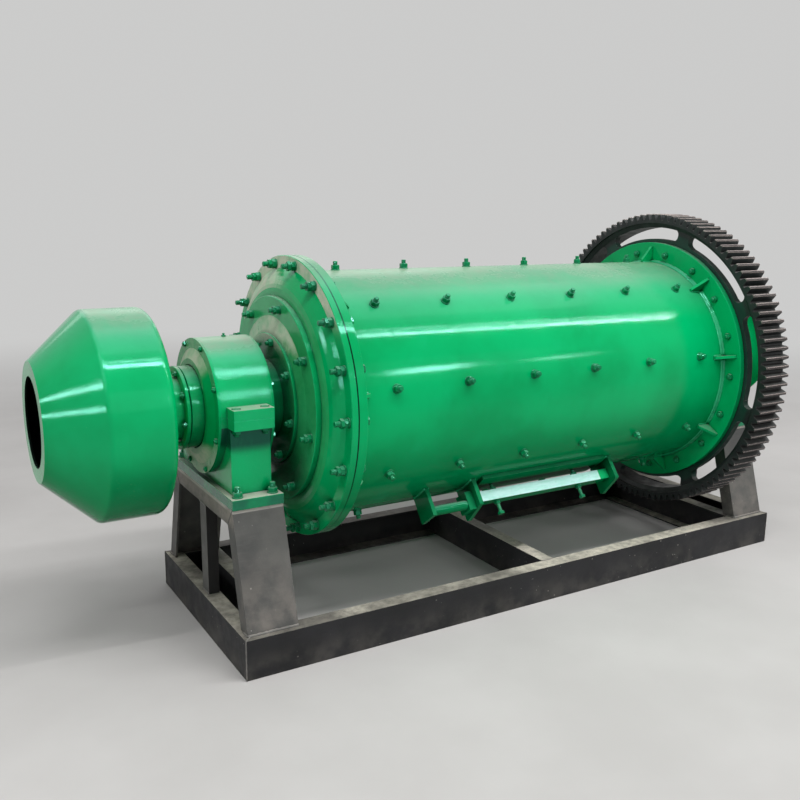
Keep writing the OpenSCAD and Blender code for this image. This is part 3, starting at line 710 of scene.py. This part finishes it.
def cast_gear(name, hub_radius, tip_radius):
    """Dark casting, green inside hub_radius, with rubbed pale upper edges on the teeth."""
    g = Graph(name)
    normal, edges = g.rounded(0.0022)
    cloud = g.ramp(g.noise(8.0, 5.0, 0.6), 0.3, 0.7)
    rim = g.mix(cloud, GEAR_RIM, GEAR_RIM_PALE)
    web = g.mix(cloud, GEAR_WEB, GEAR_WEB_PALE)
    colour = g.mix(g.ramp(g.axis_distance(), hub_radius, hub_radius - 0.02), rim, web)
    worn = g.times(edges, g.ramp(g.noise(80.0, 4.0), 0.4, 0.6), 0.4)
    colour = g.mix(worn, colour, GEAR_EDGE)
    # Painted shade in corners and between the teeth.
    colour = g.mix(g.times(g.crevice(0.02), 0.8), colour, GEAR_SHADE)
    grain = g.ramp(g.noise(70.0, 5.0, 0.7), 0.3, 0.66, 0.6, 1.0)
    colour = g.mix(g.times(g.ramp(g.facing(UP), 0.35, 0.9), grain, 0.05), colour, GEAR_DUST)
    land = g.ramp(g.axis_distance(), tip_radius - 0.0040, tip_radius - 0.0016)
    colour = g.mix(g.times(land, 0.8), colour, TOOTH_LAND)
    wide_normal = g.rounded(0.006)[0]
    rubbed = g.times(g.rises(wide_normal),
                     g.ramp(g.axis_distance(), tip_radius - 0.006, tip_radius - 0.003),
                     g.ramp(g.noise(46.0, 4.0), 0.3, 0.6, 0.6, 1.0))
    colour = g.mix(rubbed, colour, GEAR_DUST)
    g.link(colour, g.shader.inputs["Base Color"])
    g.link(g.ramp(g.noise(25.0, 5.0), 0.3, 0.7, 0.42, 0.64), g.shader.inputs["Roughness"])
    sand = g.math("ADD", g.noise(330.0, 3.0), g.times(g.noise(60.0, 4.0), 1.2))
    g.link(g.bump(sand, 0.35, normal), g.shader.inputs["Normal"])
    g.shader.inputs["Specular IOR Level"].default_value = DULL_SHINE
    return g.material


REFLECTION_END = high("hatch_bar", X) - 0.048
GREEN_WEB_R = 0.60

SHEET = enamel("sheet_enamel", shine=0.28)
# The feeder: painted shade, nearly black, inside its drum.
HOLLOW = enamel("feeder_enamel", dark_inside=(FEEDER_X, FEEDER_X + 0.01), shine=0.5)
# Castings: painted shadow under the cap's ear, below its joint.
CAST = enamel("cast_enamel", dust=0.85, cast=1.0, gloss=0.08, edge=0.003, shaded=0.16,
              soiled_below=PLATE_TOP, shine=0.65,
              joint_shadow=JointShadow(clean=CAP_JOINT - 0.086, dark=CAP_JOINT - 0.052, joint=CAP_JOINT))
HEAD = enamel("head_enamel", cast=0.5, gloss=0.05, shaded=0.2, shine=0.4, coats=[
    Coat(TO_FEEDER, 0.93, heights=(1.10, 1.19), radii=(0.424, 0.6), colour=PALE_DUST, strength=0.9),
    Coat((-0.88, 0.307, 0.365), 0.92, heights=(1.03, 1.10), radii=(0.31, 0.6), colour=PALE_DUST,
         strength=0.85),
    # Painted shade: the head's flat faces round the hub that look towards the feeder are darker olive.
    Coat(TO_FEEDER, 0.93, heights=(0.20, 0.21), radii=(0.20, 0.424), colour=OLIVE_SHADE, strength=0.2),
    Coat(TO_FEEDER, 0.93, heights=(0.98, 1.07), radii=(0.2, 0.305), colour=PALE_DUST, strength=0.75),
])
COVER = enamel("cover_enamel", cast=0.6, gloss=0.05, shaded=0.1, coats=[
    Coat((-0.92, 0.1, 0.37), 0.9, heights=(0.90, 0.97), radii=(0.0, 0.6), colour=PALE_DUST,
         strength=0.95),
    # Pale on the lower part of the cone, which looks down towards the feeder.
    Coat((-0.92, 0, -0.39), 0.88, heights=(0.74, 0.69), radii=(0.0, 0.6), colour=PALE_DUST,
         strength=0.9),
])
BOLTS = enamel("bolt_enamel", base=srgb(0, 138, 80), deep=srgb(0, 96, 56), light=srgb(120, 208, 166),
               dust=0.3, edge=0.0008, corner_shade=0.5, shine=0.6)
# Painted shade: the hatch's lugs, bracket, block, drawbar and cover take a darker copy of the enamel.
SHADED_LUGS = enamel("shaded_lug_enamel", base=srgb(0, 124, 72), deep=srgb(0, 92, 52), light=srgb(110, 206, 160),
              dust=0.3, shaded=0.12)
BEADS = enamel("weld_enamel", base=srgb(40, 180, 120), deep=srgb(0, 140, 84), light=srgb(150, 220, 186),
               dust=0.2, edge=0.0008, cast=1.6, corner_shade=0.0, shine=1.0)
# Painted reflection in pale mint on the side of the bar that looks up and to the front.
BAR = enamel("bar_enamel", edge=0.0012, reflection_on=(outward(HATCH_ANGLE - 90), REFLECTION_END))
GASKET = enamel("gasket_paint", base=srgb(2, 46, 28), deep=srgb(0, 34, 20), light=srgb(10, 80, 50),
                dust=0.3)
BEAM = frame_paint("beam_primer", BEAM_PRIMER, srgb(36, 36, 39), dust=1.0, splashed=0.06,
                   lying_dust=PALE_DUST)
# Painted shade: the back beam, in the mill's shadow, takes a darker and less dusty copy of the beam
# paint.
SHADED_BEAM = frame_paint("shaded_beam_primer", BEAM_PRIMER, srgb(32, 32, 34), dust=0.35, splashed=0.06)
STAND = frame_paint("stand_primer", STAND_PRIMER, STAND_PRIMER_PALE, splash_top=0.5, splashed=0.3,
                    dusty_from=low("left_top_channel", Z) - 0.02, pale_top=high("left_top_channel", Z))
# Middle posts: painted shade on their front and back flanks.
SHADED_POST = frame_paint("shaded_post_primer", STAND_PRIMER, STAND_PRIMER_PALE, shade_flanks=True)
SEAM = frame_paint("frame_welds", srgb(84, 84, 82), srgb(128, 126, 122), gloss=0.5)
GEAR = cast_gear("gear_iron", GREEN_WEB_R, reach("girth_gear"))

SKIN_OF = {
    "girth_gear": GEAR, "hatch_bar": BAR, "feed_drum": HOLLOW, "back_beam": SHADED_BEAM,
    "hatch_left_lug": SHADED_LUGS, "hatch_right_lug": SHADED_LUGS, "hatch_bracket": SHADED_LUGS, "hatch_block": SHADED_LUGS,
    "hatch_drawbar": SHADED_LUGS, "hatch_cover": SHADED_LUGS,
    "feed_head": HEAD, "gear_head": HEAD, "feed_trunnion": HEAD, "feed_seal_ring": HEAD,
}
SKIN_OF_ENDING = {
    "_pedestal": CAST, "_cap": CAST, "_outer_cover": COVER, "_inner_cover": COVER,
    "_leg": STAND, "_top_channel": STAND, "_middle_post": SHADED_POST, "_beam": BEAM, "_cross_member": BEAM,
}


def skin_for(name):
    """A node's material, by its own name or else by how its name ends."""
    if name in SKIN_OF:
        return SKIN_OF[name]
    for ending, material in SKIN_OF_ENDING.items():
        if name.endswith(ending):
            return material
    return SHEET


for name, node in NODES.items():
    node.data.materials.clear()
    node.data.materials.append(skin_for(name))


# Kinds of bolt, in metres
LINER_BOLT = Bolt(0.027, 0.016, 0.009, 0.014, seat=0.0175, seat_height=0.004)
HEAD_STUD = Bolt(0.030, 0.015, 0.0095, 0.020, seat=0.018, lock=0.012)
HEAD_BACK_NUT = Bolt(0.030, 0.013, 0.0095, 0.004)
HUB_BOLT = Bolt(0.027, 0.013, 0.0085, 0.014, seat=0.016, lock=0.010)
SEAL_BOLT = Bolt(0.026, 0.012, 0.008, 0.010, seat=0.015)
FLUSH_SEAL_BOLT = Bolt(0.026, 0.009, 0.008, 0.003)
NECK_BOLT = Bolt(0.018, 0.009, 0.0055, 0.005)
GEAR_BOLT = Bolt(0.026, 0.013, 0.0085, 0.008)
COVER_BOLT = Bolt(0.018, 0.009, 0.0055, 0.003)
FOOT_BOLT = Bolt(0.030, 0.015, 0.010, 0.018, seat=0.019, seat_height=0.004)
CAP_NUT = Bolt(0.027, 0.014, 0.009, 0.010)

# Circles of bolts round the mill's axis: radius in metres, angle of the first in degrees, count
BoltCircle = namedtuple("BoltCircle", "radius first count")
HEAD_CIRCLE = BoltCircle(0.487, 10, 18)
GEAR_CIRCLE = BoltCircle(0.495, 10.5, 18)
HUB_CIRCLE = BoltCircle(0.338, 13.5, 8)
SEAL_CIRCLE = BoltCircle(0.216, 13.5, 8)
NECK_CIRCLE = BoltCircle(0.128, 16, 8)
COVER_CIRCLE = BoltCircle(0.225, 21, 8)

# Half the spacing of a bearing's bolts, along the mill and across it
FOOT_SPACING = (0.062, 0.290)
CAP_SPACING = (0.050, 0.268)

# The clamping bar's two faces over the hatch, and the places of its bolts
BAR_INNER = SHELL_R + 0.040
BAR_OUTER = SHELL_R + 0.081
JACK_PLACES = (FRAME_X - 0.200, FRAME_X + 0.215)

LINER_ROWS = 9
LINER_COLUMNS = 6
LINER_PITCH = 0.295
LINER_START = SHELL_START + 0.179
LINER_FIRST_ANGLE = -1
LINER_SINK = 0.001

random.seed(7)


# Bolts on the rotor
def liner_bolts():
    out = Builder()
    for row in range(LINER_ROWS):
        angle = 360 / LINER_ROWS * row + LINER_FIRST_ANGLE
        for column in range(LINER_COLUMNS):
            x = LINER_START + LINER_PITCH * column
            LINER_BOLT.draw(out, polar(x, SHELL_R - LINER_SINK, angle), outward(angle))
    out.object("liner_bolts", "drum", BOLTS)


def rotor_bolts(name, rows):
    """One piece of several circles of bolts; a row is a bolt, its place along X, way and circle."""
    out = Builder()
    for bolt, x, way, places in rows:
        bolt.ring(out, x, way, places)
    out.object(name, "drum", BOLTS)


liner_bolts()
rotor_bolts("feed_flange_studs", [
    (HEAD_STUD, SHELL_START - HEAD_FLANGE, -1, HEAD_CIRCLE),
    (HEAD_BACK_NUT, SHELL_START + FEED_FLANGE, 1, HEAD_CIRCLE),
])
rotor_bolts("feed_hub_bolts", [
    (HUB_BOLT, low("feed_head", X) - TRUNNION_FLANGE, -1, HUB_CIRCLE),
    (SEAL_BOLT, low("feed_seal_ring", X), -1, SEAL_CIRCLE),
])
rotor_bolts("neck_bolts", [(NECK_BOLT, high("feed_neck", X) - NECK_FLANGE, -1, NECK_CIRCLE)])
rotor_bolts("gear_flange_bolts", [(GEAR_BOLT, SHELL_END - GEAR_FLANGE, -1, GEAR_CIRCLE)])
rotor_bolts("gear_end_bolts", [
    (GEAR_BOLT, low("gear_head", X) + HEAD_FLANGE, 1, GEAR_CIRCLE),
    (HUB_BOLT, high("gear_head", X) + TRUNNION_FLANGE, 1, HUB_CIRCLE),
    (FLUSH_SEAL_BOLT, high("gear_seal_ring", X), 1, SEAL_CIRCLE),
    (NECK_BOLT, low("discharge_bell", X) + NECK_FLANGE, 1, NECK_CIRCLE),
])


def jack_bolts():
    """Bolts through the clamping bar, a nut on each side of it and a second one at the outer tip."""
    out = Builder()
    flats = 0.024
    seat_height = 0.003
    outer_tip = 0.046
    inner_tip = 0.025
    spin = 0.3

    def threaded_end(place, tip):
        washer(out, place, 0.015, seat_height)
        nut(out, place, flats, 0.010, seat_height)
        thread(out, place, 0.0075, 0.012, tip)

    for x in JACK_PLACES:
        outer = aim(polar(x, BAR_OUTER, HATCH_ANGLE), outward(HATCH_ANGLE), spin)
        threaded_end(outer, outer_tip)
        nut(out, outer, flats, 0.011, outer_tip - 0.001)
        inner = aim(polar(x, BAR_INNER, HATCH_ANGLE), -outward(HATCH_ANGLE), spin)
        threaded_end(inner, inner_tip)
    out.object("hatch_jack_bolts", "drum", BOLTS)


jack_bolts()


# Bolts on the bearings
def four_places(x, along, across):
    """Four places about x and the mill's axis, seen from above."""
    return [(x + dx, dy) for dx in (-along, along) for dy in (-across, across)]


def grease_plug(out, place):
    """Hexagon with a round nipple on it."""
    nut(out, place, 0.014, 0.006)
    out.rings([circle(0.004, 0.006, 12), circle(0.004, 0.010, 12), circle(0.0052, 0.0115, 12),
               circle(0.003, 0.013, 12)], place)


def bearing_bolts(side, way):
    """Foundation nuts, cap bolts, cover screws and grease plug; way points off the mill along X."""
    out = Builder()
    centre = middle(side + "_pedestal", X)
    for x, y in four_places(centre, *FOOT_SPACING):
        FOOT_BOLT.draw(out, (x, y, PLATE_TOP), UP)
    for x, y in four_places(centre, *CAP_SPACING):
        CAP_NUT.draw(out, (x, y, CAP_JOINT), DOWN)
        head = aim((x, y, AXIS_Z + CAP_EAR - SPOT_DEPTH), UP, random.uniform(0, TAU))
        nut(out, head, 0.024, 0.010)
    for cover, face_way in ((side + "_outer_cover", way), (side + "_inner_cover", -way)):
        tip = high(cover, X) if face_way > 0 else low(cover, X)
        COVER_BOLT.ring(out, tip - face_way * COVER_CONE, face_way, COVER_CIRCLE)
    grease_plug(out, aim((centre + 0.010, 0, high(side + "_cap", Z) - 0.001), UP))
    out.object(side + "_bearing_bolts", "base", BOLTS)


bearing_bolts("left", -1)
bearing_bolts("right", 1)


# Welds on the rotor
def flange_welds(out):
    """Beads round the two flanges between their gussets, and along both sides of each gusset."""
    gear_side = SHELL_END - GEAR_FLANGE
    feed_side = SHELL_START + FEED_FLANGE
    gap = math.degrees(0.0095 / SHELL_R)
    beside = math.degrees((HALF_GUSSET + 0.0015) / SHELL_R)
    sweep = GUSSET_STEP - 2 * gap
    seams = ((gear_side - 0.002, -1, 0.010, 0), (gear_side - 0.012, -1, 0.006, 10),
             (feed_side + 0.002, 1, 0.007, 20))
    gusset_feet = ((gear_side - 0.058, gear_side - 0.003), (feed_side + 0.003, feed_side + 0.036))
    for i in range(GUSSET_COUNT):
        angle = GUSSET_FIRST + GUSSET_STEP * i
        for x, way, size, seed in seams:
            corner_bead(out, arc(x, SHELL_R + 0.002, angle + gap, sweep), way, size, seed + i)
        for side in (-1, 1):
            turned = angle + side * beside
            for start, end in gusset_feet:
                points = line(polar(start, SHELL_R + 0.001, turned), polar(end, SHELL_R + 0.001, turned))
                bead(out, points, outward(angle + side * 20), 0.005, 40 + i)


def lug_welds(out):
    """Beads at both ends of the hatch's lugs and bracket, which span some degrees of the shell."""
    for lug, half_angle in (("hatch_left_lug", 7.6), ("hatch_right_lug", 7.6), ("hatch_bracket", 6.2)):
        for way, x in ((-1, low(lug, X)), (1, high(lug, X))):
            points = arc(x, SHELL_R + 0.002, HATCH_ANGLE - half_angle, 2 * half_angle)
            corner_bead(out, points, way, 0.006, 80)


def rotor_welds():
    out = Builder()
    flange_welds(out)
    neck_radius = 0.117
    neck_seam = arc(high("feed_drum", X) + 0.002, neck_radius, 0, 360)
    corner_bead(out, neck_seam, 1, 0.006, 70, closed=True)
    lug_welds(out)
    out.object("rotor_welds", "drum", BEADS)


def flange_gaskets():
    """Dark edge of the gasket between each head and what it is bolted to."""
    out = Builder()
    rim = reach("feed_flange") + 0.0002
    inner_rim = rim - 0.004
    half = 0.0025
    corners = ((rim, -half), (rim, half), (inner_rim, half), (inner_rim, -half))
    for x in (SHELL_START, SHELL_END + GEAR_RING):
        rings = [circle(radius, z, 180) for radius, z in corners]
        out.rings(rings, aim((x, 0, AXIS_Z), (1, 0, 0)), closed=True)
    out.object("flange_gaskets", "drum", GASKET)


rotor_welds()
flange_gaskets()

# Welds on the frame
HALF_LENGTH = high("front_beam", X) - FRAME_X
HALF_WIDTH = high("back_beam", Y)
MITRE = 0.062
WELD_Z = BEAM_TOP + 0.002


def mitre_welds(out):
    """Beads down each corner of the ground frame and along its mitre."""
    for sx in (-1, 1):
        for sy in (-1, 1):
            x, y = FRAME_X + sx * HALF_LENGTH, sy * HALF_WIDTH
            bead(out, line((x, y, 0.003), (x, y, BEAM_TOP - 0.001)), Vector((sx, sy, 0)), 0.0028, 101)
            inner = (x - sx * MITRE, y - sy * MITRE, BEAM_TOP)
            bead(out, line((x, y, BEAM_TOP), inner), Vector(UP), 0.0034, 102)


def leg_welds(out, leg, channel, inner_x, outer_x, sx, sy):
    """Beads round a leg's foot, and between its head and the top channel."""
    foot = -low(leg, Y)
    head_z = high(leg, Z)
    head_y = high(channel, Y)
    lip_length = 0.037
    slope_run, slope_drop = 0.045, 0.060
    toe = line((inner_x, sy * foot, WELD_Z), (outer_x, sy * foot, WELD_Z))
    bead(out, toe, Vector((0, sy, 1)), 0.0058, 110)
    for x, way in ((outer_x, sx), (inner_x, -sx)):
        lip = line((x, sy * foot, WELD_Z), (x, sy * (foot - lip_length), WELD_Z))
        bead(out, lip, Vector((way, 0, 1)), 0.0045, 111)
        slope = line((x, sy * head_y, head_z), (x, sy * (head_y - slope_run), head_z - slope_drop))
        bead(out, slope, Vector((way, 0, 0)), 0.0026, 113)
    edge = line((outer_x, sy * head_y, head_z), (inner_x, sy * head_y, head_z))
    bead(out, edge, Vector((0, sy, 1)), 0.003, 112)


def stand_welds(out, side, sx):
    """Beads of one stand; sx is the way it lies from the frame's middle along X."""
    leg = side + "_front_leg"
    post = side + "_middle_post"
    ends = (low(leg, X), high(leg, X))
    inner_x, outer_x = ends if sx > 0 else ends[::-1]
    for sy in (-1, 1):
        leg_welds(out, leg, side + "_top_channel", inner_x, outer_x, sx, sy)
    for z, lean in ((WELD_Z, 1), (high(post, Z), -1)):
        across = line((outer_x, low(post, Y), z), (outer_x, high(post, Y), z))
        bead(out, across, Vector((sx, 0, lean)), 0.0038, 115)


def member_welds(out, member):
    """Beads where a cross member meets the two side beams."""
    for sy in (-1, 1):
        y = sy * (HALF_WIDTH - MITRE)
        across = line((low(member, X), y, BEAM_TOP), (high(member, X), y, BEAM_TOP))
        bead(out, across, Vector(UP), 0.0038, 120)


def frame_welds():
    out = Builder()
    mitre_welds(out)
    stand_welds(out, "left", -1)
    stand_welds(out, "right", 1)
    for member in ("left_cross_member", "middle_cross_member", "right_cross_member"):
        member_welds(out, member)
    out.object("frame_welds", "base", SEAM)


frame_welds()


# Floor and backdrop
def seen_directly(tree):
    """1 for camera, glossy and transmission rays."""
    path = tree.nodes.new("ShaderNodeLightPath")
    total = path.outputs["Is Camera Ray"]
    for ray in ("Is Glossy Ray", "Is Transmission Ray"):
        add = tree.nodes.new("ShaderNodeMath")
        add.operation = "ADD"
        add.use_clamp = True
        tree.links.new(total, add.inputs[0])
        tree.links.new(path.outputs[ray], add.inputs[1])
        total = add.outputs[0]
    return total


def studio_floor(span, fade_start, fade_end):
    """Pale concrete that turns into the backdrop's colour far from the machine."""
    mesh = bpy.data.meshes.new("floor")
    corners = [(-span, -span, 0), (span, -span, 0), (span, span, 0), (-span, span, 0)]
    mesh.from_pydata(corners, [], [(0, 1, 2, 3)])
    floor = bpy.data.objects.new("floor", mesh)
    bpy.context.scene.collection.objects.link(floor)
    floor.location.z = CAD_BOX[0].z - 0.0005
    g = Graph("floor")
    cloud = g.ramp(g.noise(1.1, 5.0), 0.3, 0.7)
    g.link(g.mix(cloud, FLOOR_DARK, FLOOR_PALE), g.shader.inputs["Base Color"])
    g.shader.inputs["Roughness"].default_value = 0.7
    g.shader.inputs["Specular IOR Level"].default_value = 0.25
    distance = g.length(g.coords.outputs["Object"])
    fade = g.times(g.ramp(distance, fade_start, fade_end), seen_directly(g.tree))
    glow = g.node("ShaderNodeEmission")
    glow.inputs["Color"].default_value = BACKDROP
    both = g.node("ShaderNodeMixShader")
    g.link(fade, both.inputs[0])
    g.link(g.shader.outputs[0], both.inputs[1])
    g.link(glow.outputs[0], both.inputs[2])
    g.link(both.outputs[0], g.out.inputs[0])
    mesh.materials.append(g.material)


def studio_world():
    """Dim soft light all round; what is seen directly is the pale backdrop."""
    world = bpy.data.worlds.new("studio")
    bpy.context.scene.world = world
    world.use_nodes = True
    tree = world.node_tree
    tree.nodes.clear()
    soft = tree.nodes.new("ShaderNodeBackground")
    soft.inputs["Color"].default_value = SOFT_SKY
    soft.inputs["Strength"].default_value = 0.08
    backdrop = tree.nodes.new("ShaderNodeBackground")
    backdrop.inputs["Color"].default_value = BACKDROP
    pick = tree.nodes.new("ShaderNodeMixShader")
    done = tree.nodes.new("ShaderNodeOutputWorld")
    tree.links.new(seen_directly(tree), pick.inputs[0])
    tree.links.new(soft.outputs[0], pick.inputs[1])
    tree.links.new(backdrop.outputs[0], pick.inputs[2])
    tree.links.new(pick.outputs[0], done.inputs[0])


studio_floor(span=60.0, fade_start=2.8, fade_end=8.5)
studio_world()


# Lamps
def softbox(name, location, target, size_x, size_y, power, along=(1, 0, 0)):
    """Rectangular lamp that looks at target, its first side along the given direction."""
    data = bpy.data.lights.new(name, "AREA")
    data.shape = "RECTANGLE"
    data.size = size_x
    data.size_y = size_y
    data.energy = power
    lamp = bpy.data.objects.new(name, data)
    bpy.context.scene.collection.objects.link(lamp)
    lamp.location = location
    lamp.visible_camera = False
    back = (Vector(location) - Vector(target)).normalized()
    x = Vector(along)
    x = (x - back * x.dot(back)).normalized()
    y = back.cross(x)
    lamp.rotation_euler = Matrix((x, y, back)).transposed().to_euler()


STRIP_RUN = (1, -0.09, 0)
softbox("roof_strip", (2.7, -3.78, 7.4), (2.7, 0, 0.8), 13.8, 0.15, 600, STRIP_RUN)
softbox("roof_strip_behind", (2.7, -3.2, 7.6), (2.7, 0, 0.8), 13.8, 0.06, 140, STRIP_RUN)
softbox("roof_light", (0.4, 0.6, 7.5), (0.4, 0, 0.5), 12.0, 4.5, 150)
softbox("window", (4.66, -7.8, 4.3), (0.08, 0, 0.8), 0.85, 0.5, 66)
softbox("window_right", (7.1, -7.8, 4.25), (0.9, 0, 0.8), 0.5, 0.3, 13)
softbox("hall_front", (0.5, -7.6, 4.2), (0.2, 0, 0.7), 12.0, 3.0, 50)
softbox("window_by_housing", (2.0, -7.8, 4.2), (-1.1, 0, 0.9), 0.9, 0.5, 56)
softbox("left_window_high", (-9.0, -0.9, 4.05), (-1.5, -0.3, 1.0), 1.7, 0.22, 42, TO_BACK)
softbox("left_window_low", (-9.3, -1.9, 1.95), (-1.5, -0.3, 0.9), 1.3, 0.36, 30, TO_BACK)
softbox("left_window_back", (-8.0, 2.3, 3.2), (-0.8, -0.4, 1.1), 0.9, 0.7, 40, TO_BACK)
softbox("hall_left", (-5.8, -2.6, 6.2), (-0.8, 0, 0.7), 4.0, 5.0, 110)
softbox("hall_back", (0.5, 7.0, 4.6), (0.0, 0, 0.7), 9.0, 2.5, 60)


# Camera, in millimetres for its lens, degrees and metres: yaw counts from +X and pitch looks down
LENS = 39.905
SENSOR = 36.0
YAW, PITCH, ROLL = 59.118, 11.893, 0.5407
CAMERA_PLACE = (FRAME_X - 2.2199, -2.9611, 1.4960)


def photo_camera():
    """Camera at the photograph's viewing angle."""
    data = bpy.data.cameras.new("camera")
    data.sensor_width = SENSOR
    data.sensor_fit = "HORIZONTAL"
    data.lens = LENS
    data.clip_start = 0.1
    data.clip_end = 200.0
    camera = bpy.data.objects.new("camera", data)
    bpy.context.scene.collection.objects.link(camera)
    yaw, pitch, roll = math.radians(YAW), math.radians(PITCH), math.radians(ROLL)
    forward = Vector((math.cos(yaw) * math.cos(pitch), math.sin(yaw) * math.cos(pitch), -math.sin(pitch)))
    right = Vector((math.sin(yaw), -math.cos(yaw), 0))
    up = right.cross(forward)
    rolled_right = right * math.cos(roll) + up * math.sin(roll)
    rolled_up = up * math.cos(roll) - right * math.sin(roll)
    turn = Matrix((rolled_right, rolled_up, -forward)).transposed().to_4x4()
    camera.matrix_world = Matrix.Translation(CAMERA_PLACE) @ turn
    bpy.context.scene.camera = camera


photo_camera()
bpy.context.scene.view_settings.view_transform = "Standard"

bpy.context.view_layer.update()
